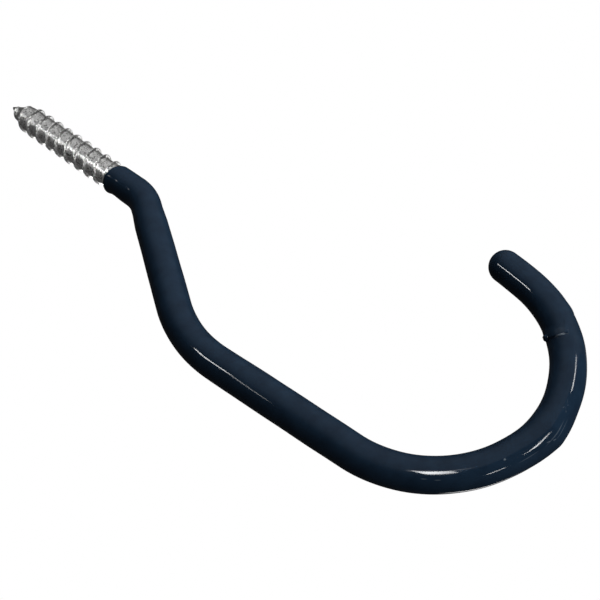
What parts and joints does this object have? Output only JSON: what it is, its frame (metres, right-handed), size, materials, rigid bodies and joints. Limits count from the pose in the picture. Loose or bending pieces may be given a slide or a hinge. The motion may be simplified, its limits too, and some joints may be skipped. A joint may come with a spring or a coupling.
{
  "type": "bike hook",
  "caption": "Screw-in bike hook: steel rod with a wood-screw thread, an offset shank and an open round hook, dipped in glossy black vinyl up to the thread.",
  "frame": {"origin": "on the screw's axis, just clear of the vinyl coating's slanted mouth, where the thread is bare all round", "axes": "+Z along the screw towards its point, +X in the hook's plane towards the open tip, +Y across the hook's plane"},
  "size_m": [0.0726, 0.0088, 0.1842],
  "materials": {
    "zinc_steel": "bright zinc plating, slightly speckled",
    "black_vinyl": "glossy dipped vinyl, blue-black"
  },
  "bodies": {
    "root": {"steel_hook": "zinc_steel", "vinyl_coating": "black_vinyl"}
  },
  "joints": []
}
